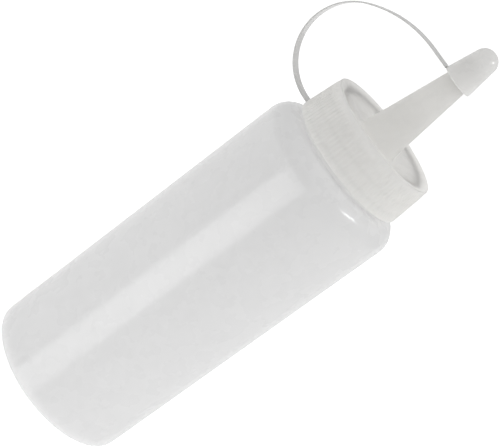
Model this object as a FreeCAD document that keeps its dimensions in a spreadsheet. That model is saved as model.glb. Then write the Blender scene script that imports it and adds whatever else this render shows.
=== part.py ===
import FreeCAD, Part
import math
import os
import re

import Sketcher

# A tall squeeze bottle for glue, with a screw cap that carries a long nozzle and a tethered tip cap. It
# stands on its base ring with its axis along +Z, and the origin is the centre of the base ring. The tether
# strap lies on the -X side. All sizes are millimetres and degrees.

DIMENSIONS = {
    # bottle
    "bottle_radius": 26.0,
    "wall": 1.1,
    "floor_rise": 1.5,
    "foot_radius": 21.0,
    "heel_radius": 2.0,
    "shoulder_height": 112.4,
    "shoulder_radius": 6.5,
    "neck_radius": 17.5,
    "neck_bore": 16.1,
    "neck_top": 124.2,
    # thread of the neck and of the cap: same pitch and start height, half a turn apart
    "thread_pitch": 4.23,
    "thread_turns": 1.25,
    "thread_start": 117.3,
    "neck_thread_crest": 18.75,
    "cap_thread_crest": 17.85,
    "ridge_root_width": 1.7,
    "ridge_crest_width": 0.7,
    # how deep a thread ridge or a lug starts inside the wall that carries it
    "overlap": 0.4,
    # seal ring
    "seal_thickness": 1.2,
    "seal_bore": 16.0,
    "seal_radius": 17.6,
    # screw cap
    "skirt_bottom": 114.0,
    "skirt_bottom_radius": 21.1,
    "skirt_top_radius": 20.05,
    "skirt_bore": 19.1,
    "deck_top": 127.4,
    "deck_edge_radius": 0.4,
    "dish_rim_radius": 19.4,
    "dish_thickness": 1.5,
    "rib_height": 0.22,
    "rib_width": 0.7,
    "rib_count": 96,
    "rib_bottom": 114.5,
    "rib_top": 125.8,
    # nozzle
    "nozzle_root": 123.6,
    "nozzle_root_radius": 6.95,
    "nozzle_top": 160.2,
    "nozzle_top_radius": 2.95,
    "nozzle_wall": 1.3,
    "orifice_radius": 0.95,
    "orifice_length": 2.0,
    # tip cap
    "tip_bottom": 152.45,
    "tip_mouth_radius": 5.2,
    "tip_mouth_rounding": 0.45,
    "tip_end_radius": 3.4,
    "tip_dome_radius": 3.85,
    "tip_top": 165.8,
    "tip_clearance": 0.05,
    "tip_headroom": 0.4,
    "pin_radius": 0.85,
    "pin_length": 1.4,
    # tether strap: level at both ends, with a tight lower bend and a wide upper bend
    "strap_width": 5.6,
    "strap_thickness": 0.5,
    "strap_root_radius": 22.0,
    "strap_root_height": 114.9,
    "lower_bend_radius": 17.1,
    "lower_bend_turn": 141.5,
    "upper_bend_radius": 33.9,
    "strap_tip_radius": 6.4,
    "lug_thickness": 0.6,
}

# height at which the strap runs level into the tip cap's lug
STRAP_END_HEIGHT = (
    "(strap_root_height + lower_bend_radius + upper_bend_radius"
    " - (upper_bend_radius - lower_bend_radius) * sin((lower_bend_turn - 90) * 1deg))"
)

document = FreeCAD.newDocument("glue_applicator_bottle")
sheet = document.addObject("Spreadsheet::Sheet", "dims")
for row, (alias, value) in enumerate(DIMENSIONS.items(), start=1):
    sheet.set(f"A{row}", alias)
    sheet.set(f"B{row}", str(value))
    sheet.setAlias(f"B{row}", alias)
document.recompute()


def bound(expression):
    """The expression with each dimension's name pointing at its cell."""
    def cell(word):
        return f"dims.{word.group(0)}" if word.group(0) in DIMENSIONS else word.group(0)
    return re.sub(r"[a-z]+(_[a-z]+)*", cell, expression)


def value_of(expression):
    """The expression's value at the sheet's present numbers."""
    return float(sheet.evalExpression(bound(expression)))


def bind(feature, **expressions):
    """Bind properties of a feature to expressions of the sheet's names."""
    for name, expression in expressions.items():
        feature.setExpression(name, bound(expression))


def new_body(label, turned=False):
    """A body with the node's name. A turned one is drawn towards +X and faces -X."""
    body = document.addObject("PartDesign::Body", label)
    body.Label = label
    if turned:
        upright = FreeCAD.Vector(0, 0, 1)
        body.Placement = FreeCAD.Placement(FreeCAD.Vector(), FreeCAD.Rotation(upright, 180))
    return body


def new_sketch(body, name, role="XZ_Plane"):
    """A sketch on one of the body's own origin planes."""
    plane = next(item for item in body.Origin.OriginFeatures if item.Role == role)
    sketch = body.newObject("Sketcher::SketchObject", name)
    sketch.AttachmentSupport = [(plane, "")]
    sketch.MapMode = "FlatFace"
    return sketch


def outline(sketch, corners):
    """Closed outline of straight runs through corners, each a pair of expressions for radius and height."""
    points = [FreeCAD.Vector(value_of(across), value_of(up), 0) for across, up in corners]
    count = len(points)
    for index in range(count):
        sketch.addGeometry(Part.LineSegment(points[index], points[(index + 1) % count]))
    for index in range(count):
        sketch.addConstraint(Sketcher.Constraint("Coincident", index, 2, (index + 1) % count, 1))
    for index, (across, up) in enumerate(corners):
        pin_coordinate(sketch, index, "DistanceX", points[index].x, across, -2)
        pin_coordinate(sketch, index, "DistanceY", points[index].y, up, -1)


def pin_coordinate(sketch, line, kind, value, expression, axis):
    """Hold one coordinate of a line's start: on the axis where it is zero, else at its expression."""
    if abs(value) < 1e-9:
        sketch.addConstraint(Sketcher.Constraint("PointOnObject", line, 1, axis))
        return
    number = sketch.addConstraint(Sketcher.Constraint(kind, -1, 1, line, 1, value))
    sketch.setExpression(f"Constraints[{number}]", bound(expression))


def revolve(body, sketch, name):
    """Turn the sketch a full turn about the body's axis."""
    feature = body.newObject("PartDesign::Revolution", name)
    feature.Profile = sketch
    feature.ReferenceAxis = (sketch, ["V_Axis"])
    feature.Angle = 360.0
    document.recompute()
    return feature


def ring_edges(feature, rings):
    """Names of the circular edges that lie at the given radii and heights."""
    names = []
    for radius, height in rings:
        wanted = (value_of(radius), value_of(height))
        for number, edge in enumerate(feature.Shape.Edges, start=1):
            curve = edge.Curve
            if isinstance(curve, Part.Circle) and math.dist((curve.Radius, curve.Center.z), wanted) < 0.01:
                names.append(f"Edge{number}")
    if len(names) < len(rings):
        raise RuntimeError(f"{feature.Name}: a ring edge is missing")
    return names


def round_rings(body, base, name, radius, rings):
    """Fillet of one radius on the rings of the base feature."""
    feature = body.newObject("PartDesign::Fillet", name)
    feature.Base = (base, ring_edges(base, rings))
    bind(feature, Radius=radius)
    document.recompute()
    return feature


def thread(body, name, root, crest):
    """Helical ridge of trapezoid section from the root radius to the crest radius."""
    sketch = new_sketch(body, name + "_section")
    outline(sketch, [
        (root, "thread_start - ridge_root_width / 2"),
        (crest, "thread_start - ridge_crest_width / 2"),
        (crest, "thread_start + ridge_crest_width / 2"),
        (root, "thread_start + ridge_root_width / 2"),
    ])
    document.recompute()
    feature = body.newObject("PartDesign::AdditiveHelix", name)
    feature.Profile = sketch
    feature.ReferenceAxis = (sketch, ["V_Axis"])
    feature.Mode = "pitch-turns-angle"
    bind(feature, Pitch="thread_pitch", Turns="thread_turns")
    document.recompute()
    return feature


def lug(body, name, inner, outer, middle):
    """Small flat tab that carries one end of the strap, as wide as the strap."""
    sketch = new_sketch(body, name + "_outline")
    low = f"{middle} - lug_thickness / 2"
    high = f"{middle} + lug_thickness / 2"
    outline(sketch, [(inner, low), (outer, low), (outer, high), (inner, high)])
    feature = body.newObject("PartDesign::Pad", name)
    feature.Profile = sketch
    feature.SideType = "Symmetric"
    bind(feature, Length="strap_width")
    document.recompute()
    return feature


def make_bottle():
    """Blown bottle: one wall from the pushed-up floor to the mouth, with the neck's thread outside."""
    body = new_body("bottle")
    sketch = new_sketch(body, "bottle_section")
    outline(sketch, [
        ("0", "floor_rise"),
        ("foot_radius - floor_rise", "floor_rise"),
        ("foot_radius", "0"),
        ("bottle_radius", "0"),
        ("bottle_radius", "shoulder_height"),
        ("neck_radius", "shoulder_height"),
        ("neck_radius", "neck_top"),
        ("neck_bore", "neck_top"),
        ("neck_bore", "shoulder_height - wall"),
        ("bottle_radius - wall", "shoulder_height - wall"),
        ("bottle_radius - wall", "wall"),
        ("foot_radius + wall / 2", "wall"),
        ("foot_radius - floor_rise + wall / 2", "floor_rise + wall"),
        ("0", "floor_rise + wall"),
    ])
    shell = revolve(body, sketch, "bottle_wall")
    shoulder = round_rings(body, shell, "outer_shoulder", "shoulder_radius",
                           [("bottle_radius", "shoulder_height")])
    inside = round_rings(body, shoulder, "inner_shoulder", "shoulder_radius - wall",
                         [("bottle_radius - wall", "shoulder_height - wall")])
    heel = round_rings(body, inside, "heel", "heel_radius", [("bottle_radius", "0")])
    corner = round_rings(body, heel, "inner_heel", "heel_radius - wall", [("bottle_radius - wall", "wall")])
    round_rings(body, corner, "neck_root", "wall / 2", [("neck_radius", "shoulder_height")])
    thread(body, "neck_thread", "neck_radius - overlap", "neck_thread_crest")
    return body


def make_screw_cap():
    """Screw cap: ribbed skirt with an inner thread, dished deck, hollow nozzle and the strap's lower lug."""
    body = new_body("screw_cap", turned=True)
    sketch = new_sketch(body, "cap_section")
    land = "neck_top + seal_thickness"
    outline(sketch, [
        ("skirt_bore", "skirt_bottom"),
        ("skirt_bottom_radius", "skirt_bottom"),
        ("skirt_top_radius", "deck_top"),
        ("dish_rim_radius", "deck_top"),
        ("nozzle_root_radius", "nozzle_root"),
        ("nozzle_top_radius", "nozzle_top"),
        ("orifice_radius", "nozzle_top"),
        ("orifice_radius", "nozzle_top - orifice_length"),
        ("nozzle_top_radius - nozzle_wall", "nozzle_top - orifice_length - nozzle_wall"),
        ("nozzle_root_radius - nozzle_wall", "nozzle_root - dish_thickness"),
        ("neck_bore - wall / 2", land),
        ("skirt_bore", land),
    ])
    shell = revolve(body, sketch, "cap_wall")
    round_rings(body, shell, "deck_edge", "deck_edge_radius", [("skirt_top_radius", "deck_top")])
    thread(body, "cap_thread", "skirt_bore + overlap", "cap_thread_crest")
    lug(body, "strap_lug", "skirt_bore + overlap", "strap_root_radius", "strap_root_height")
    add_ribs(body)
    return body


def add_ribs(body):
    """Fine upright ribs all round the skirt, which follow its taper."""
    rise = "(deck_top - skirt_bottom)"
    taper = "(skirt_bottom_radius - skirt_top_radius)"
    low = f"skirt_bottom_radius - {taper} * (rib_bottom - skirt_bottom) / {rise}"
    high = f"skirt_bottom_radius - {taper} * (rib_top - skirt_bottom) / {rise}"
    sketch = new_sketch(body, "rib_outline")
    outline(sketch, [
        (f"{low} - rib_height", "rib_bottom"),
        (f"{low} + rib_height", "rib_bottom"),
        (f"{high} + rib_height", "rib_top"),
        (f"{high} - rib_height", "rib_top"),
    ])
    rib = body.newObject("PartDesign::Pad", "rib")
    rib.Profile = sketch
    rib.SideType = "Symmetric"
    bind(rib, Length="rib_width")
    document.recompute()
    ribs = body.newObject("PartDesign::PolarPattern", "ribs")
    ribs.Originals = [rib]
    ribs.Axis = (sketch, ["V_Axis"])
    ribs.Angle = 360.0
    bind(ribs, Occurrences="rib_count")
    body.Tip = ribs
    document.recompute()


def make_tip_cap():
    """Tip cap: tapered skirt with a rounded mouth, a domed end and a pin that plugs the orifice."""
    body = new_body("tip_cap", turned=True)
    slope = "((nozzle_root_radius - nozzle_top_radius) / (nozzle_top - nozzle_root))"
    mouth = f"nozzle_root_radius - {slope} * (tip_bottom - nozzle_root) + tip_clearance"
    ceiling = "nozzle_top + tip_headroom"
    sketch = new_sketch(body, "tip_section")
    outline(sketch, [
        (mouth, "tip_bottom"),
        ("tip_mouth_radius", "tip_bottom"),
        ("tip_end_radius", "tip_top"),
        ("0", "tip_top"),
        ("0", f"{ceiling} - pin_length"),
        ("pin_radius", f"{ceiling} - pin_length"),
        ("pin_radius", ceiling),
        (f"nozzle_top_radius + tip_clearance - {slope} * tip_headroom", ceiling),
    ])
    shell = revolve(body, sketch, "tip_wall")
    dome = round_rings(body, shell, "tip_dome", "tip_dome_radius", [("tip_end_radius", "tip_top")])
    round_rings(body, dome, "mouth_edge", "tip_mouth_rounding", [("tip_mouth_radius", "tip_bottom")])
    lug(body, "strap_lug_tip", "tip_mouth_radius - overlap", "strap_tip_radius", STRAP_END_HEIGHT)
    return body


def strap_bends():
    """Centre, radius name, start and end angle of the strap's two bends. The upper one ends level."""
    turn = value_of("lower_bend_turn")
    lower_radius = value_of("lower_bend_radius")
    upper_radius = value_of("upper_bend_radius")
    lower = FreeCAD.Vector(value_of("strap_root_radius"), value_of("strap_root_height") + lower_radius, 0)
    along = math.radians(turn - 90)
    shift = lower_radius - upper_radius
    upper = lower + FreeCAD.Vector(math.cos(along), math.sin(along), 0) * shift
    return [(lower, "lower_bend_radius", -90.0, turn - 90), (upper, "upper_bend_radius", turn - 90, 90.0)]


def strap_side(sketch, sign):
    """One face line of the strap, half its thickness out (+) or in (-): two arcs and a level run."""
    runs = []
    for centre, radius_name, start, end in strap_bends():
        expression = f"{radius_name} {sign} strap_thickness / 2"
        circle = Part.Circle(centre, FreeCAD.Vector(0, 0, 1), value_of(expression))
        runs.append(sketch.addGeometry(Part.ArcOfCircle(circle, math.radians(start), math.radians(end))))
        number = sketch.addConstraint(Sketcher.Constraint("Radius", runs[-1], value_of(expression)))
        sketch.setExpression(f"Constraints[{number}]", bound(expression))
    sketch.addConstraint(Sketcher.Constraint("Coincident", runs[0], 2, runs[1], 1))
    end_point = sketch.getPoint(runs[1], 2)
    tip_point = FreeCAD.Vector(value_of("strap_tip_radius"), end_point.y, 0)
    runs.append(sketch.addGeometry(Part.LineSegment(end_point, tip_point)))
    sketch.addConstraint(Sketcher.Constraint("Coincident", runs[1], 2, runs[2], 1))
    return runs[0], runs[2]


def make_tether_strap():
    """Thin flat strap that leaves the cap's lug level, loops out and up and runs level into the tip cap."""
    body = new_body("tether_strap", turned=True)
    sketch = new_sketch(body, "strap_outline")
    outer_root, outer_tip = strap_side(sketch, "+")
    inner_root, inner_tip = strap_side(sketch, "-")
    for first, second, end in ((outer_root, inner_root, 1), (outer_tip, inner_tip, 2)):
        across = Part.LineSegment(sketch.getPoint(first, end), sketch.getPoint(second, end))
        line = sketch.addGeometry(across)
        sketch.addConstraint(Sketcher.Constraint("Coincident", first, end, line, 1))
        sketch.addConstraint(Sketcher.Constraint("Coincident", second, end, line, 2))
    pad = body.newObject("PartDesign::Pad", "strap_band")
    pad.Profile = sketch
    pad.SideType = "Symmetric"
    bind(pad, Length="strap_width")
    document.recompute()
    return body


def make_seal_ring():
    """Flat loose ring between the neck's mouth and the underside of the deck."""
    disc = document.addObject("Part::Cylinder", "seal_disc")
    bind(disc, Radius="seal_radius", Height="seal_thickness")
    hole = document.addObject("Part::Cylinder", "seal_hole")
    bind(hole, Radius="seal_bore", Height="seal_thickness")
    ring = document.addObject("Part::Cut", "seal_ring")
    ring.Label = "seal_ring"
    ring.Base = disc
    ring.Tool = hole
    ring.setExpression("Placement.Base.z", bound("neck_top"))
    document.recompute()
    return ring


def check_document():
    """Stop if any object of the document failed to compute."""
    for item in document.Objects:
        if "Invalid" in item.State or "Error" in item.State:
            raise RuntimeError(f"{item.Name} is {item.State}")


pieces = [make_bottle(), make_screw_cap(), make_seal_ring(), make_tip_cap(), make_tether_strap()]
document.recompute()
check_document()
os.makedirs("parts", exist_ok=True)
for piece in pieces:
    shape = piece.Shape
    if shape.isNull() or not shape.isValid() or len(shape.Solids) != 1:
        raise RuntimeError(f"{piece.Label} is not one valid solid")
    box = shape.BoundBox
    print(f"{piece.Label}: {shape.Volume:.1f} mm3, z {box.ZMin:.2f} to {box.ZMax:.2f}, "
          f"x {box.XMin:.2f} to {box.XMax:.2f}")
    shape.exportStep(f"parts/{piece.Label}.step")
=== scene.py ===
import math

import bpy
from mathutils import Matrix, Vector


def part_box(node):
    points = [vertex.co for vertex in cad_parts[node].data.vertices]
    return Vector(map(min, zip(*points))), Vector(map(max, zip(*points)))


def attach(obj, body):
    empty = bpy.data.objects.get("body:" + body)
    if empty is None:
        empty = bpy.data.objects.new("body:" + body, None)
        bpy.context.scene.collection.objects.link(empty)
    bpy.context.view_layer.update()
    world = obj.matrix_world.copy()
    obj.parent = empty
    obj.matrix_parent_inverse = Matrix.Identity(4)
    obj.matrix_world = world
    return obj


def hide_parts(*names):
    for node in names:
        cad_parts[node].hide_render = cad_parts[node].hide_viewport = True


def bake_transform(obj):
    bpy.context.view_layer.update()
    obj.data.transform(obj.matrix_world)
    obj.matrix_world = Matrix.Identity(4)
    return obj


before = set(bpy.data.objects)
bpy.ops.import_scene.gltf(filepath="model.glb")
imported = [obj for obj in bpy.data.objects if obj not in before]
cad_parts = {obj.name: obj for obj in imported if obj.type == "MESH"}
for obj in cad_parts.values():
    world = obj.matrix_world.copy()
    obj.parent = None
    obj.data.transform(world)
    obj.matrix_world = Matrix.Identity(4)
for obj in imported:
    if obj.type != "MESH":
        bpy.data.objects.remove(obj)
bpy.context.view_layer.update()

# A soft, translucent squeeze bottle with a ribbed screw cap, a long nozzle and a tethered tip cap. The axis
# is +Z and the strap lies on the -X side. The pieces' sizes are millimetres until a mesh is made, but the
# stage, the lights and the camera are in metres.

MM = 0.001
TINY = 1e-6
SEGMENTS = 192


# ---------------------------------------------------------------- the plastics and the foam

# Each plastic has a tone, a share that glows with light from behind, and a share that is clear. The cap, the
# tip cap and the strap share one plastic, whose tones differ as painted light and shade: the cap lighter
# than the bottle to offset the shade of its stacked walls, the tip cap and the strap darker. Grains and
# scales count features per metre.
WHITE = (1.0, 1.0, 1.0)
CAP_TINT = (1.0, 0.996, 0.985)
BOTTLE_TONE = 0.92
BOTTLE_GLOW = 0.65
BOTTLE_CLEAR = 0.15
BOTTLE_GRAIN = 420
CAP_PAINTED_LIGHT_TONE = 0.995
CAP_GLOW = 0.8
CAP_CLEAR = 0.04
TIP_PAINTED_SHADE_TONE = 0.94
TIP_GLOW = 0.5
TIP_CLEAR = 0.05
STRAP_PAINTED_SHADE_TONE = 0.76
STRAP_GLOW = 0.4
STRAP_CLEAR = 0.0
CAP_GRAIN = 600

# Painted light and shade that change the tones with height: the bottle's neck lighter where the skirt shades
# it, the nozzle and the tip cap darker towards their tops. Each gives where it starts, where it is complete,
# and the share it ends at.
NECK_PAINTED_LIGHT = (110.0, 114.0, 1.06)
NOZZLE_PAINTED_SHADE = (121.0, 136.0, 0.925)
TIP_PAINTED_SHADE = (155.0, 163.0, 0.95)

CLOUDINESS = 0.005
CLOUD_SCALE = 20
CLOUD_STRETCH = (1, 1, 0.4)
ROUGHNESS = 0.26
ROUGHNESS_SPREAD = 0.03
ROUGHNESS_SCALE = 160
PLASTIC_IOR = 1.51
PLASTIC_SPECULAR = 1.0
COAT_IOR = 1.5
COAT_ROUGHNESS = 0.1
GRAIN_STRENGTH = 0.35
GRAIN_HEIGHT = 0.03

# Painted shade along the cap's thread: the lines' half width and darkness, and where they fade out at the
# top.
LINE_HALF_WIDTH = 1.1
LINE_SHADE_DEPTH = 0.03
LINES_TOP = 123.6
LINES_FADE = 0.8

FOAM_PAINTED_PIT_SHADE = (0.86, 0.86, 0.85)
FOAM_LIGHT = (0.94, 0.94, 0.93)
FOAM_GLOW = 0.5
FOAM_ROUGHNESS = (0.6, 0.8)
FOAM_ROUGHNESS_SCALE = 700
PIT_SCALE = 1500
PIT_STRENGTH = 0.5
PIT_DEPTH = 0.1


# ---------------------------------------------------------------- the stage, the lights and the camera

WORLD_STRENGTH = 0.74
BOUNCES = 10

FLOOR_SIDE = 12.0
FLOOR_COLOUR = (0.85, 0.85, 0.85, 1)
FLOOR_ROUGHNESS = 0.9
FLOOR_SPECULAR = 0.1
FLOOR_GLOW = 0.48
FLOOR_GLOW_START = -0.5
FLOOR_GLOW_FULL = -0.06

# The wedge's edges are where its reflection starts and ends across the bottle, as shares of the radius.
WEDGE_EDGES = (-0.36, -0.04)
WEDGE_GAP = 0.002
WEDGE_REACH = 0.42
WEDGE_LIFT = 0.001
WEDGE_GLOW = 3.4
WEDGE_GLOW_FOOT = 0.65
WEDGE_GLOW_FULL = 0.16

SOFTBOX_PLACE = (0.44, -0.05, 0.64)
SOFTBOX_AIM = (0, 0, 0.1)
SOFTBOX_SIZE = (0.26, 0.07)
SOFTBOX_POWER = 1.0

CAMERA_PLACE = (0, -0.42735, 0.21756)
CAMERA_AROUND = 4.8
CAMERA_SIDE = -0.351
CAMERA_PITCH = 17.942
CAMERA_ROLL = 53.438
CAMERA_SENSOR = 36.0
CAMERA_LENS = 110.35
CAMERA_NEAR = 0.01


# ---------------------------------------------------------------- sizes, from the frame where it gives them

def in_mm(corner):
    """The corner in millimetres."""
    return [axis / MM for axis in corner]


bottle_high = in_mm(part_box("bottle")[1])
cap_low, cap_high = map(in_mm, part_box("screw_cap"))
seal_low, seal_high = map(in_mm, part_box("seal_ring"))
tip_low, tip_high = map(in_mm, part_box("tip_cap"))
strap_low, strap_high = map(in_mm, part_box("tether_strap"))

SEAM_PROUD = 0.03
SEAM_HALF_WIDTH = 0.7
SEAM_EDGE = 0.5
SEAM_FADE_HEEL = 4.0
SEAM_FADE_SHOULDER = 3.0
BODY_RADIUS = bottle_high[0] - SEAM_PROUD
WALL = 1.1
HEEL_ROUNDING = 2.0
INNER_HEEL_ROUNDING = 1.4
SHOULDER_HEIGHT = 112.4
SHOULDER_RADIUS = 6.5
NECK_RADIUS = 17.5
NECK_ROOT_ROUNDING = 0.7
NECK_MOUTH_ROUNDING = 0.35
NECK_BORE = 16.1
NECK_TOP = bottle_high[2]
BASE_RISE = 1.5
BASE_FLARE = 0.4
BASE_ROUNDING = 1.2
FOOT_RADIUS = 21.0
FOOT_ROUNDING = 0.8
THREAD_PITCH = 4.23
THREAD_TURNS = 1.25
THREAD_START = 117.3
NECK_THREAD_CREST = 18.75
CAP_THREAD_CREST = 17.85
RIDGE_ROOT_WIDTH = 1.7
RIDGE_CREST_WIDTH = 0.7
RIDGE_RUN_OUT = 0.06

EDGE_ROUNDING = 0.3
FINE_ROUNDING = 0.2

SKIRT_BOTTOM = cap_low[2]
DECK_TOP = 127.4
DECK_EDGE_ROUNDING = 0.42
SKIRT_BOTTOM_RADIUS = 21.1
SKIRT_TOP_RADIUS = 20.05
SKIRT_BORE = 19.1
DISH_RIM_RADIUS = 19.4
DISH_THICKNESS = 1.5
RIB_COUNT = 96
RIB_HEIGHT = 0.11
RIB_BOTTOM = 114.5
RIB_TOP = 125.8
RIB_RUN_OUT = 0.3
RIB_SOFTNESS = 0.55
LAND_ROUNDING = 0.5
NOZZLE_ROOT = 123.6
NOZZLE_ROOT_RADIUS = 6.95
NOZZLE_ROOT_ROUNDING = 1.4
NOZZLE_INNER_ROUNDING = 1.0
NOZZLE_TOP = cap_high[2]
NOZZLE_TOP_RADIUS = 2.95
NOZZLE_END_ROUNDING = 0.4
NOZZLE_WALL = 1.3
ORIFICE_RADIUS = 0.95
ORIFICE_LENGTH = 2.0

SEAL_BORE = 16.0
SEAL_ROUNDING = 0.15

TIP_BOTTOM = tip_low[2]
TIP_TOP = tip_high[2]
TIP_MOUTH_RADIUS = 5.2
TIP_MOUTH_ROUNDING = 0.45
TIP_END_RADIUS = 3.4
TIP_DOME_RADIUS = 3.85
TIP_CLEARANCE = 0.05
TIP_HEADROOM = 0.4
PIN_RADIUS = 0.85
PIN_LENGTH = 1.4

STRAP_WIDTH = strap_high[1] - strap_low[1]
STRAP_THICKNESS = 0.5

# The strap starts inside the skirt, bends from its root, and ends inside the tip cap's wall.
STRAP_START_RADIUS = 20.0
STRAP_ROOT_RADIUS = 22.0
STRAP_ROOT_HEIGHT = strap_low[2] + STRAP_THICKNESS / 2
LOWER_BEND_RADIUS = 17.1
LOWER_BEND_TURN = 141.5
UPPER_BEND_RADIUS = 33.9
STRAP_END_RADIUS = 4.9
STRAP_END_STEP = 0.5
STRAP_END_STEPS = 4
STRAP_SPACING = 0.7
STRAP_SECTION_POINTS = 20
STRAP_SIDE_SQUARENESS = 0.35
STRAP_FACE_SQUARENESS = 0.6

# How far apart the rings of a turned mesh may lie, along the threads, the ribs and the plain runs.
NECK_RING_SPACING = 0.2
SKIRT_BORE_RING_SPACING = 0.25
SKIRT_RING_SPACING = 0.45
TIP_RING_SPACING = 2.0
CAP_RING_SPACING = 4.0
BOTTLE_RING_SPACING = 8.0
RIB_SEGMENTS = SEGMENTS * 4

# The finely meshed side of the skirt keeps this far from its bore, and reaches this far past the ribs.
SKIRT_FINE_MARGIN = 0.5
SKIRT_FINE_ABOVE = 1.5
SKIRT_FINE_BELOW = 0.4


# ---------------------------------------------------------------- mesh helpers

def smooth_step(value):
    """A smooth rise from 0 to 1."""
    value = min(1.0, max(0.0, value))
    return value * value * (3 - 2 * value)


def rounded(corners, steps):
    """Outline through corners (radius, height, rounding): each rounding becomes an arc of that radius."""
    points = []
    count = len(corners)
    for index, (across, up, rounding) in enumerate(corners):
        here = Vector((across, up))
        if rounding <= 0:
            points.append(here)
            continue
        before = (Vector(corners[index - 1][:2]) - here).normalized()
        after = (Vector(corners[(index + 1) % count][:2]) - here).normalized()
        half = before.angle(after) / 2
        reach = rounding / math.tan(half)
        middle = here + (before + after).normalized() * (rounding / math.sin(half))
        start = here + before * reach - middle
        end = here + after * reach - middle
        for step in range(steps + 1):
            share = step / steps
            points.append(middle + start.slerp(end, share).normalized() * rounding)
    return points


def spaced(points, longest):
    """The outline with its long runs cut into shorter ones of at most the given length."""
    result = []
    for first, second in zip(points, points[1:]):
        runs = max(1, math.ceil((second - first).length / longest))
        result.extend(first.lerp(second, run / runs) for run in range(runs))
    return result + [points[-1]]


def lathe(name, rings, closed=False):
    """Turned mesh. rings are (radius, height, segments, form); form changes the radius with the angle."""
    vertices = []
    starts = []
    for radius, height, segments, form in rings:
        starts.append(len(vertices))
        if radius < TINY:
            vertices.append((0, 0, height * MM))
            continue
        for step in range(segments):
            angle = 2 * math.pi * step / segments
            reach = (form(radius, height, angle) if form else radius) * MM
            vertices.append((reach * math.cos(angle), reach * math.sin(angle), height * MM))
    faces = []
    pairs = list(zip(range(len(rings) - 1), range(1, len(rings))))
    if closed:
        pairs.append((len(rings) - 1, 0))
    for low, high in pairs:
        faces.extend(band(rings[low], starts[low], rings[high], starts[high]))
    mesh = bpy.data.meshes.new(name)
    mesh.from_pydata(vertices, [], faces)
    return finished(name, mesh)


def band(low_ring, low_start, high_ring, high_start):
    """Faces between two rings, whose segment counts may differ by a whole factor."""
    low_count = low_ring[2] if low_ring[0] >= TINY else 0
    high_count = high_ring[2] if high_ring[0] >= TINY else 0
    if not low_count:
        return [(low_start, high_start + (step + 1) % high_count, high_start + step)
                for step in range(high_count)]
    if not high_count:
        return [(low_start + step, low_start + (step + 1) % low_count, high_start)
                for step in range(low_count)]
    coarse = min(low_count, high_count)
    low_share = low_count // coarse
    high_share = high_count // coarse
    faces = []
    for step in range(coarse):
        low = [low_start + (step * low_share + part) % low_count for part in range(low_share + 1)]
        high = [high_start + (step * high_share + part) % high_count for part in range(high_share + 1)]
        faces.append(tuple(low + high[::-1]))
    return faces


def finished(name, mesh):
    """Object of the mesh, smooth, with outward normals that keep flat faces flat."""
    piece = bpy.data.objects.new(name, mesh)
    bpy.context.scene.collection.objects.link(piece)
    mesh.validate()
    mesh.polygons.foreach_set("use_smooth", [True] * len(mesh.polygons))
    bpy.context.view_layer.objects.active = piece
    piece.select_set(True)
    bpy.ops.object.mode_set(mode="EDIT")
    bpy.ops.mesh.select_all(action="SELECT")
    bpy.ops.mesh.normals_make_consistent(inside=False)
    bpy.ops.object.mode_set(mode="OBJECT")
    piece.select_set(False)
    weighted = piece.modifiers.new("even_shading", "WEIGHTED_NORMAL")
    weighted.keep_sharp = True
    return piece


def runs_along(first, second, radius):
    """Whether an outline's run from the first to the second point keeps to the radius."""
    return abs(first.x - radius) < TINY and abs(second.x - radius) < TINY


def ridge(height, angle, first_angle):
    """How far from root (0) to crest (1) the thread stands at this height and angle."""
    phase = (angle - first_angle) % (2 * math.pi)
    tallest = 0.0
    for turn in range(math.ceil(THREAD_TURNS)):
        travelled = phase / (2 * math.pi) + turn
        if travelled > THREAD_TURNS:
            continue
        offset = abs(height - THREAD_START - THREAD_PITCH * travelled)
        flank = (RIDGE_ROOT_WIDTH / 2 - offset) / ((RIDGE_ROOT_WIDTH - RIDGE_CREST_WIDTH) / 2)
        ends = min(travelled, THREAD_TURNS - travelled) / RIDGE_RUN_OUT
        tallest = max(tallest, smooth_step(flank) * smooth_step(ends))
    return tallest


# ---------------------------------------------------------------- the pieces

def body_form(radius, height, angle):
    """The bottle's outside with the mould's two fine parting lines, which fade at the shoulder and heel."""
    heel = smooth_step((height - HEEL_ROUNDING) / SEAM_FADE_HEEL)
    shoulder = smooth_step((SHOULDER_HEIGHT - SEAM_FADE_SHOULDER - height) / SEAM_FADE_SHOULDER)
    away = abs(math.sin(angle)) * radius
    return radius + SEAM_PROUD * heel * shoulder * smooth_step((SEAM_HALF_WIDTH - away) / SEAM_EDGE)


def neck_form(radius, height, angle):
    """The neck's outside with its thread."""
    return radius + (NECK_THREAD_CREST - NECK_RADIUS) * ridge(height, angle, 0.0)


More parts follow.
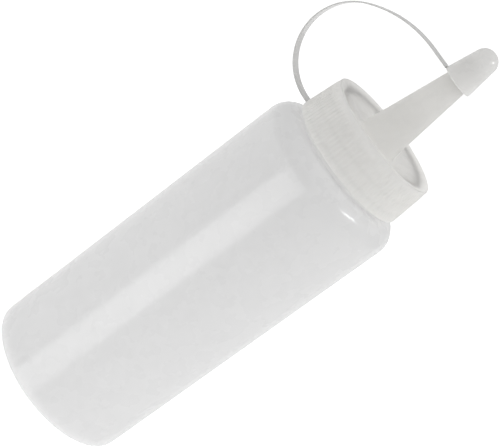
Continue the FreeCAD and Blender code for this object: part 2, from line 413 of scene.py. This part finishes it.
def make_bottle():
    """The open shell: up its outside from the pushed-up base, over the neck's mouth and down its inside."""
    outline = rounded([
        (0.0, BASE_RISE, 0),
        (FOOT_RADIUS - BASE_RISE - BASE_FLARE, BASE_RISE, BASE_ROUNDING),
        (FOOT_RADIUS, 0.0, FOOT_ROUNDING),
        (BODY_RADIUS, 0.0, HEEL_ROUNDING),
        (BODY_RADIUS, SHOULDER_HEIGHT, SHOULDER_RADIUS),
        (NECK_RADIUS, SHOULDER_HEIGHT, NECK_ROOT_ROUNDING),
        (NECK_RADIUS, NECK_TOP, NECK_MOUTH_ROUNDING),
        (NECK_BORE, NECK_TOP, NECK_MOUTH_ROUNDING),
        (NECK_BORE, SHOULDER_HEIGHT - WALL, BASE_ROUNDING),
        (BODY_RADIUS - WALL, SHOULDER_HEIGHT - WALL, SHOULDER_RADIUS - WALL),
        (BODY_RADIUS - WALL, WALL, INNER_HEEL_ROUNDING),
        (FOOT_RADIUS + WALL / 2, WALL, FOOT_ROUNDING),
        (FOOT_RADIUS - BASE_RISE, BASE_RISE + WALL, BASE_ROUNDING),
        (0.0, BASE_RISE + WALL, 0),
    ], steps=10)
    rings = []
    for first, second in zip(outline, outline[1:]):
        on_neck = runs_along(first, second, NECK_RADIUS)
        for point in spaced([first, second], NECK_RING_SPACING if on_neck else BOTTLE_RING_SPACING)[:-1]:
            on_body = point.x > BODY_RADIUS - WALL / 2
            form = neck_form if on_neck else body_form if on_body else None
            rings.append((point.x, point.y, SEGMENTS, form))
    rings.append((0.0, BASE_RISE + WALL, SEGMENTS, None))
    return lathe("bottle_shell", rings)


def rib_form(radius, height, angle):
    """The skirt's outside with its fine upright ribs, which run out softly at both ends."""
    run_in = smooth_step((height - RIB_BOTTOM + RIB_RUN_OUT) / (2 * RIB_RUN_OUT))
    run_out = smooth_step((RIB_TOP + RIB_RUN_OUT - height) / (2 * RIB_RUN_OUT))
    wave = math.cos(angle * RIB_COUNT)
    return radius + RIB_HEIGHT * run_in * run_out * smooth_step((wave + RIB_SOFTNESS) / (2 * RIB_SOFTNESS))


def cap_thread_form(radius, height, angle):
    """The skirt's inside with its thread, which lies half a turn away from the neck's."""
    return radius - (SKIRT_BORE - CAP_THREAD_CREST) * ridge(height, angle, math.pi)


def make_screw_cap():
    """The cap: up its ribbed skirt, over the dish and the nozzle, down the bore and the threaded inside."""
    land = seal_high[2]
    outline = rounded([
        (SKIRT_BORE, SKIRT_BOTTOM, EDGE_ROUNDING),
        (SKIRT_BOTTOM_RADIUS, SKIRT_BOTTOM, EDGE_ROUNDING),
        (SKIRT_TOP_RADIUS, DECK_TOP, DECK_EDGE_ROUNDING),
        (DISH_RIM_RADIUS, DECK_TOP, EDGE_ROUNDING),
        (NOZZLE_ROOT_RADIUS, NOZZLE_ROOT, NOZZLE_ROOT_ROUNDING),
        (NOZZLE_TOP_RADIUS, NOZZLE_TOP, NOZZLE_END_ROUNDING),
        (ORIFICE_RADIUS, NOZZLE_TOP, FINE_ROUNDING),
        (ORIFICE_RADIUS, NOZZLE_TOP - ORIFICE_LENGTH, EDGE_ROUNDING),
        (NOZZLE_TOP_RADIUS - NOZZLE_WALL, NOZZLE_TOP - ORIFICE_LENGTH - NOZZLE_WALL, EDGE_ROUNDING),
        (NOZZLE_ROOT_RADIUS - NOZZLE_WALL, NOZZLE_ROOT - DISH_THICKNESS, NOZZLE_INNER_ROUNDING),
        (NECK_BORE - WALL / 2, land, LAND_ROUNDING),
        (SKIRT_BORE, land, EDGE_ROUNDING),
    ], steps=8)
    rings = []
    for first, second in zip(outline, outline[1:] + outline[:1]):
        on_side = min(first.x, second.x) > SKIRT_BORE + SKIRT_FINE_MARGIN
        outside = on_side and second.y < RIB_TOP + SKIRT_FINE_ABOVE
        inside = runs_along(first, second, SKIRT_BORE)
        longest = SKIRT_RING_SPACING if outside else SKIRT_BORE_RING_SPACING if inside else CAP_RING_SPACING
        for point in spaced([first, second], longest)[:-1]:
            ribbed = outside and point.y > RIB_BOTTOM - SKIRT_FINE_BELOW
            form = rib_form if ribbed else cap_thread_form if inside else None
            rings.append((point.x, point.y, RIB_SEGMENTS if ribbed else SEGMENTS, form))
    return lathe("cap_shell", rings, closed=True)


def make_seal_ring():
    """The flat ring between the neck's mouth and the cap."""
    outline = rounded([
        (seal_high[0], seal_low[2], SEAL_ROUNDING),
        (seal_high[0], seal_high[2], SEAL_ROUNDING),
        (SEAL_BORE, seal_high[2], SEAL_ROUNDING),
        (SEAL_BORE, seal_low[2], SEAL_ROUNDING),
    ], steps=3)
    return lathe("seal_ring_foam", [(point.x, point.y, SEGMENTS, None) for point in outline], closed=True)


def make_tip_cap():
    """The tip cap: from its dome down to the mouth, up its seat and round the pin in the orifice."""
    slope = (NOZZLE_ROOT_RADIUS - NOZZLE_TOP_RADIUS) / (NOZZLE_TOP - NOZZLE_ROOT)
    mouth = NOZZLE_ROOT_RADIUS - slope * (TIP_BOTTOM - NOZZLE_ROOT) + TIP_CLEARANCE
    ceiling = NOZZLE_TOP + TIP_HEADROOM
    outline = rounded([
        (0.0, TIP_TOP, 0),
        (TIP_END_RADIUS, TIP_TOP, TIP_DOME_RADIUS),
        (TIP_MOUTH_RADIUS, TIP_BOTTOM, TIP_MOUTH_ROUNDING),
        (mouth, TIP_BOTTOM, FINE_ROUNDING),
        (NOZZLE_TOP_RADIUS + TIP_CLEARANCE - slope * TIP_HEADROOM, ceiling, EDGE_ROUNDING),
        (PIN_RADIUS, ceiling, FINE_ROUNDING),
        (PIN_RADIUS, ceiling - PIN_LENGTH, EDGE_ROUNDING),
        (0.0, ceiling - PIN_LENGTH, 0),
    ], steps=10)
    points = spaced(outline, TIP_RING_SPACING)
    return lathe("tip_cap_shell", [(point.x, point.y, SEGMENTS // 2, None) for point in points])


def strap_line():
    """Points and directions along the strap's middle, from inside the cap's skirt to the tip cap's wall."""
    points = [(Vector((-STRAP_START_RADIUS, 0, STRAP_ROOT_HEIGHT)), Vector((-1, 0, 0)))]
    lower = Vector((-STRAP_ROOT_RADIUS, 0, STRAP_ROOT_HEIGHT + LOWER_BEND_RADIUS))
    turn = math.radians(LOWER_BEND_TURN)
    inward = Vector((math.sin(turn), 0, math.cos(turn)))
    upper = lower + inward * (UPPER_BEND_RADIUS - LOWER_BEND_RADIUS)
    for centre, radius, start, end in ((lower, LOWER_BEND_RADIUS, 0.0, turn),
                                       (upper, UPPER_BEND_RADIUS, turn, math.pi)):
        steps = round(radius * (end - start) / STRAP_SPACING)
        for step in range(steps):
            angle = start + (end - start) * step / steps
            place = centre - Vector((math.sin(angle), 0, math.cos(angle))) * radius
            points.append((place, Vector((-math.cos(angle), 0, math.sin(angle)))))
    top = upper.z + UPPER_BEND_RADIUS
    points.append((Vector((upper.x, 0, top)), Vector((1, 0, 0))))
    for step in reversed(range(STRAP_END_STEPS)):
        points.append((Vector((-STRAP_END_RADIUS - STRAP_END_STEP * step, 0, top)), Vector((1, 0, 0))))
    return points


def make_strap():
    """The flat band with softly rounded edges, drawn along the strap's middle."""
    line = strap_line()
    half_width = STRAP_WIDTH / 2
    half_thickness = STRAP_THICKNESS / 2
    section = []
    for step in range(STRAP_SECTION_POINTS):
        angle = 2 * math.pi * step / STRAP_SECTION_POINTS
        across, up = math.cos(angle), math.sin(angle)
        section.append((math.copysign(abs(across) ** STRAP_SIDE_SQUARENESS, across) * half_width,
                        math.copysign(abs(up) ** STRAP_FACE_SQUARENESS, up) * half_thickness))
    vertices = []
    for place, direction in line:
        normal = Vector((0, 1, 0)).cross(direction)
        for across, up in section:
            vertices.append((place + Vector((0, across, 0)) + normal * up) * MM)
    count = len(section)
    faces = []
    for row in range(len(line) - 1):
        for step in range(count):
            after = (step + 1) % count
            faces.append((row * count + step, row * count + after,
                          (row + 1) * count + after, (row + 1) * count + step))
    faces.append(tuple(range(count)))
    faces.append(tuple(range((len(line) - 1) * count, len(line) * count)))
    mesh = bpy.data.meshes.new("strap_band")
    mesh.from_pydata(vertices, [], faces)
    return finished("strap_band", mesh)


# ---------------------------------------------------------------- materials

def own_place(tree):
    """The point in the piece's own coordinates."""
    return tree.nodes.new("ShaderNodeTexCoord").outputs["Object"]


def axes_of(tree, place):
    """The X, Y and Z of a point."""
    parts = tree.nodes.new("ShaderNodeSeparateXYZ")
    tree.links.new(place, parts.inputs["Vector"])
    return parts.outputs


def noise(tree, scale, detail, stretch=(1, 1, 1)):
    """Noise over the piece's own coordinates; scale counts features per metre."""
    mapping = tree.nodes.new("ShaderNodeMapping")
    mapping.inputs["Scale"].default_value = stretch
    texture = tree.nodes.new("ShaderNodeTexNoise")
    texture.inputs["Scale"].default_value = scale
    texture.inputs["Detail"].default_value = detail
    tree.links.new(own_place(tree), mapping.inputs["Vector"])
    tree.links.new(mapping.outputs["Vector"], texture.inputs["Vector"])
    return texture.outputs["Fac"]


def mapped(tree, value, start, end, low=0.0, high=1.0, shape="SMOOTHSTEP"):
    """The value's run from start to end, turned into a run from low to high."""
    run = tree.nodes.new("ShaderNodeMapRange")
    run.interpolation_type = shape
    for socket, number in (("From Min", start), ("From Max", end), ("To Min", low), ("To Max", high)):
        run.inputs[socket].default_value = number
    tree.links.new(value, run.inputs["Value"])
    return run.outputs["Result"]


def spread(tree, value, low=0.0, high=1.0):
    """The noise's middle half, stretched to run from low to high."""
    return mapped(tree, value, 0.25, 0.75, low, high)


def scaled(tree, colour, share):
    """The colour multiplied by the share."""
    product = tree.nodes.new("ShaderNodeVectorMath")
    product.operation = "SCALE"
    tree.links.new(colour, product.inputs[0])
    tree.links.new(share, product.inputs["Scale"])
    return product.outputs["Vector"]


def between(tree, first, second, share):
    """A colour between the first and the second."""
    mix = tree.nodes.new("ShaderNodeMix")
    mix.data_type = "RGBA"
    mix.inputs["A"].default_value = (*first, 1)
    mix.inputs["B"].default_value = (*second, 1)
    tree.links.new(share, mix.inputs["Factor"])
    return mix.outputs["Result"]


def mixed(tree, first, second, share):
    """The first shader, with a share of the second."""
    mix = tree.nodes.new("ShaderNodeMixShader")
    mix.inputs["Fac"].default_value = share
    tree.links.new(first, mix.inputs[1])
    tree.links.new(second, mix.inputs[2])
    return mix.outputs["Shader"]


def glowing(tree, colour):
    """The shader of light that comes through from behind."""
    glow = tree.nodes.new("ShaderNodeBsdfTranslucent")
    tree.links.new(colour, glow.inputs["Color"])
    return glow.outputs["BSDF"]


def grained(tree, surface, height, strength, distance):
    """Gives the surface a bump of the given distance in millimetres."""
    bump = tree.nodes.new("ShaderNodeBump")
    bump.inputs["Strength"].default_value = strength
    bump.inputs["Distance"].default_value = distance * MM
    tree.links.new(height, bump.inputs["Height"])
    tree.links.new(bump.outputs["Normal"], surface.inputs["Normal"])


def new_material(name):
    """A material with its node tree and its main surface node."""
    material = bpy.data.materials.new(name)
    material.use_nodes = True
    tree = material.node_tree
    return material, tree, tree.nodes["Principled BSDF"]


def painted_light_by_height(tree, colour, start, end, share):
    """Painted light and shade: the colour as it is below the start height, and multiplied by the share above
    the end height.
    """
    height = axes_of(tree, own_place(tree))["Z"]
    return scaled(tree, colour, mapped(tree, height, start * MM, end * MM, 1.0, share, "LINEAR"))


def painted_thread_shade(tree, colour):
    """The colour with faint dark lines of painted shade along the thread, where its ridges thicken the
    skirt.
    """

    def calculated(operation, first, second):
        node = tree.nodes.new("ShaderNodeMath")
        node.operation = operation
        for socket, value in zip(node.inputs, (first, second)):
            if isinstance(value, (int, float)):
                socket.default_value = value
            else:
                tree.links.new(value, socket)
        return node.outputs["Value"]

    place = axes_of(tree, own_place(tree))
    turn = calculated("DIVIDE", calculated("ARCTAN2", place["Y"], place["X"]), 2 * math.pi)
    climb = calculated("DIVIDE", calculated("SUBTRACT", place["Z"], THREAD_START * MM), THREAD_PITCH * MM)
    off_line = calculated("PINGPONG", calculated("SUBTRACT", climb, turn), 0.5)
    line = mapped(tree, off_line, LINE_HALF_WIDTH / THREAD_PITCH, 0.0)
    below = mapped(tree, place["Z"], (LINES_TOP + LINES_FADE) * MM, LINES_TOP * MM)
    depth = calculated("MULTIPLY", calculated("MULTIPLY", line, below), LINE_SHADE_DEPTH)
    return scaled(tree, colour, calculated("SUBTRACT", 1.0, depth))


def polyethylene(name, tone, tint, glow_share, clear_share, grain, painted_light=None, threaded=False):
    """Milky soft plastic: light soaks in and spreads, some passes through, and the skin is satin."""
    material, tree, surface = new_material(name)
    duller = [channel * (tone - CLOUDINESS) for channel in tint]
    brighter = [channel * tone for channel in tint]
    clouds = spread(tree, noise(tree, CLOUD_SCALE, detail=1, stretch=CLOUD_STRETCH))
    colour = between(tree, duller, brighter, clouds)
    # Painted light and shade: the tone grows lighter or darker with height.
    if painted_light:
        colour = painted_light_by_height(tree, colour, *painted_light)
    # Painted shade: faint dark lines along the thread inside the skirt.
    if threaded:
        colour = painted_thread_shade(tree, colour)
    tree.links.new(colour, surface.inputs["Base Color"])
    satin = spread(tree, noise(tree, ROUGHNESS_SCALE, detail=3), ROUGHNESS, ROUGHNESS + ROUGHNESS_SPREAD)
    tree.links.new(satin, surface.inputs["Roughness"])
    surface.inputs["IOR"].default_value = PLASTIC_IOR
    surface.inputs["Specular IOR Level"].default_value = PLASTIC_SPECULAR
    surface.inputs["Coat Weight"].default_value = 1.0
    surface.inputs["Coat IOR"].default_value = COAT_IOR
    surface.inputs["Coat Roughness"].default_value = COAT_ROUGHNESS
    grained(tree, surface, noise(tree, grain, detail=3), GRAIN_STRENGTH, GRAIN_HEIGHT)
    clear = tree.nodes.new("ShaderNodeBsdfTransparent").outputs["BSDF"]
    wall = mixed(tree, surface.outputs["BSDF"], glowing(tree, colour), glow_share)
    whole = mixed(tree, wall, clear, clear_share)
    tree.links.new(whole, tree.nodes["Material Output"].inputs["Surface"])
    return material


def foamed(name):
    """White foamed liner: matt and finely pitted, its colour darker where the pits sink, as painted shade.
    """
    material, tree, surface = new_material(name)
    pits = spread(tree, noise(tree, PIT_SCALE, detail=2))
    # Painted shade: the colour follows the pits' bump, darker where they sink.
    colour = between(tree, FOAM_PAINTED_PIT_SHADE, FOAM_LIGHT, pits)
    tree.links.new(colour, surface.inputs["Base Color"])
    matt = spread(tree, noise(tree, FOAM_ROUGHNESS_SCALE, detail=2), *FOAM_ROUGHNESS)
    tree.links.new(matt, surface.inputs["Roughness"])
    grained(tree, surface, pits, PIT_STRENGTH, PIT_DEPTH)
    whole = mixed(tree, surface.outputs["BSDF"], glowing(tree, colour), FOAM_GLOW)
    tree.links.new(whole, tree.nodes["Material Output"].inputs["Surface"])
    return material


def paint(piece, material):
    """Gives the whole piece one material."""
    piece.data.materials.clear()
    piece.data.materials.append(material)


# ---------------------------------------------------------------- the stage

def staged(name, corners):
    """A flat four-cornered sheet of the stage, with its node tree and its pale surface, which can glow."""
    mesh = bpy.data.meshes.new(name)
    mesh.from_pydata(corners, [], [(0, 1, 2, 3)])
    sheet = bpy.data.objects.new(name, mesh)
    bpy.context.scene.collection.objects.link(sheet)
    material, tree, surface = new_material(name + "_glow")
    surface.inputs["Base Color"].default_value = FLOOR_COLOUR
    surface.inputs["Emission Color"].default_value = (1, 1, 1, 1)
    mesh.materials.append(material)
    return sheet, tree, surface


def make_floor():
    """A pale floor that glows past white behind the bottle, like a light table, and is plain in front."""
    side = FLOOR_SIDE / 2
    corners = [(-side, -side, 0), (side, -side, 0), (side, side, 0), (-side, side, 0)]
    _, tree, surface = staged("floor", corners)
    surface.inputs["Roughness"].default_value = FLOOR_ROUGHNESS
    surface.inputs["Specular IOR Level"].default_value = FLOOR_SPECULAR
    back = axes_of(tree, own_place(tree))["Y"]
    glow = mapped(tree, back, FLOOR_GLOW_START, FLOOR_GLOW_FULL, 0.0, FLOOR_GLOW)
    tree.links.new(glow, surface.inputs["Emission Strength"])


def make_wedge():
    """A glowing wedge on the floor in front, whose reflection is the soft band that runs up the bottle.

    Only reflections see it. A line of sight that meets the bottle's side at a slant is thrown back at twice
    that slant, so each edge of the wedge runs that way from the side.
    """
    radius = BODY_RADIUS * MM
    facing = Matrix.Rotation(math.radians(CAMERA_AROUND), 3, "Z")
    corners = []
    for across in WEDGE_EDGES:
        slant = math.asin(across)
        foot = Vector((radius * across, -radius * math.cos(slant), WEDGE_LIFT))
        outward = Vector((math.sin(2 * slant), -math.cos(2 * slant), 0))
        ends = [foot + outward * WEDGE_GAP, foot + outward * WEDGE_REACH]
        corners.extend(ends if not corners else ends[::-1])
    wedge, tree, surface = staged("strip", [facing @ corner for corner in corners])
    distance = tree.nodes.new("ShaderNodeVectorMath")
    distance.operation = "LENGTH"
    tree.links.new(own_place(tree), distance.inputs[0])
    glow = mapped(tree, distance.outputs["Value"], radius, WEDGE_GLOW_FULL,
                  WEDGE_GLOW * WEDGE_GLOW_FOOT, WEDGE_GLOW, "LINEAR")
    tree.links.new(glow, surface.inputs["Emission Strength"])
    wedge.visible_camera = False
    wedge.visible_diffuse = False
    wedge.visible_transmission = False


def make_surroundings():
    """Even white light from all around."""
    world = bpy.data.worlds.new("studio")
    bpy.context.scene.world = world
    world.use_nodes = True
    background = world.node_tree.nodes["Background"]
    background.inputs["Color"].default_value = (1, 1, 1, 1)
    background.inputs["Strength"].default_value = WORLD_STRENGTH


def make_softbox():
    """One softbox, high on the right, which puts the short streak on the shoulder."""
    light = bpy.data.lights.new("softbox_right", "AREA")
    light.shape = "RECTANGLE"
    light.size, light.size_y = SOFTBOX_SIZE
    light.energy = SOFTBOX_POWER
    softbox = bpy.data.objects.new("softbox_right", light)
    bpy.context.scene.collection.objects.link(softbox)
    softbox.location = SOFTBOX_PLACE
    beam = Vector(SOFTBOX_AIM) - Vector(SOFTBOX_PLACE)
    softbox.rotation_euler = beam.to_track_quat("-Z", "Y").to_euler()
    softbox.visible_camera = False


def make_camera():
    """The camera looks down on the bottle from the front, rolled so that the bottle lies aslant."""
    data = bpy.data.cameras.new("camera")
    data.sensor_width = CAMERA_SENSOR
    data.lens = CAMERA_LENS
    data.clip_start = CAMERA_NEAR
    camera = bpy.data.objects.new("camera", data)
    bpy.context.scene.collection.objects.link(camera)
    bpy.context.scene.camera = camera
    angles = (CAMERA_SIDE, CAMERA_PITCH, CAMERA_ROLL, CAMERA_AROUND)
    side, pitch, roll, around = (math.radians(angle) for angle in angles)
    forward = Vector((math.sin(side) * math.cos(pitch), math.cos(side) * math.cos(pitch), -math.sin(pitch)))
    level = Vector((math.cos(side), -math.sin(side), 0))
    upright = level.cross(forward)
    right = level * math.cos(roll) + upright * math.sin(roll)
    above = -level * math.sin(roll) + upright * math.cos(roll)
    axes = Matrix((right, above, -forward)).transposed().to_4x4()
    camera.matrix_world = Matrix.Rotation(around, 4, "Z") @ Matrix.Translation(CAMERA_PLACE) @ axes


# ---------------------------------------------------------------- the scene

make_floor()
make_wedge()
make_surroundings()
make_softbox()
make_camera()
bpy.context.scene.view_settings.view_transform = "Standard"
bpy.context.scene.cycles.diffuse_bounces = BOUNCES

# The bottle's neck is painted lighter where the skirt shades it; the cap's nozzle and the tip cap are
# painted darker towards their tops.
milky = polyethylene("bottle_polyethylene", BOTTLE_TONE, WHITE, BOTTLE_GLOW, BOTTLE_CLEAR, BOTTLE_GRAIN,
                     NECK_PAINTED_LIGHT)
# Painted light and shade: the cap's tone is lifted, the tip cap's and the strap's lowered.
cap_plastic = polyethylene("cap_polyethylene", CAP_PAINTED_LIGHT_TONE, CAP_TINT, CAP_GLOW, CAP_CLEAR, CAP_GRAIN,
                           NOZZLE_PAINTED_SHADE, threaded=True)
tip_plastic = polyethylene("tip_polyethylene", TIP_PAINTED_SHADE_TONE, CAP_TINT, TIP_GLOW, TIP_CLEAR, CAP_GRAIN, TIP_PAINTED_SHADE)
strap_plastic = polyethylene("strap_polyethylene", STRAP_PAINTED_SHADE_TONE, CAP_TINT, STRAP_GLOW, STRAP_CLEAR, CAP_GRAIN)
foam = foamed("seal_foam")

bottle = make_bottle()
paint(bottle, milky)
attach(bottle, "bottle")
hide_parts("bottle")

cap = make_screw_cap()
paint(cap, cap_plastic)
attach(cap, "cap")
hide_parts("screw_cap")

seal = make_seal_ring()
paint(seal, foam)
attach(seal, "seal")
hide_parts("seal_ring")

tip = make_tip_cap()
paint(tip, tip_plastic)
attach(tip, "tip")
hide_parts("tip_cap")

strap = make_strap()
paint(strap, strap_plastic)
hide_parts("tether_strap")
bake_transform(strap)
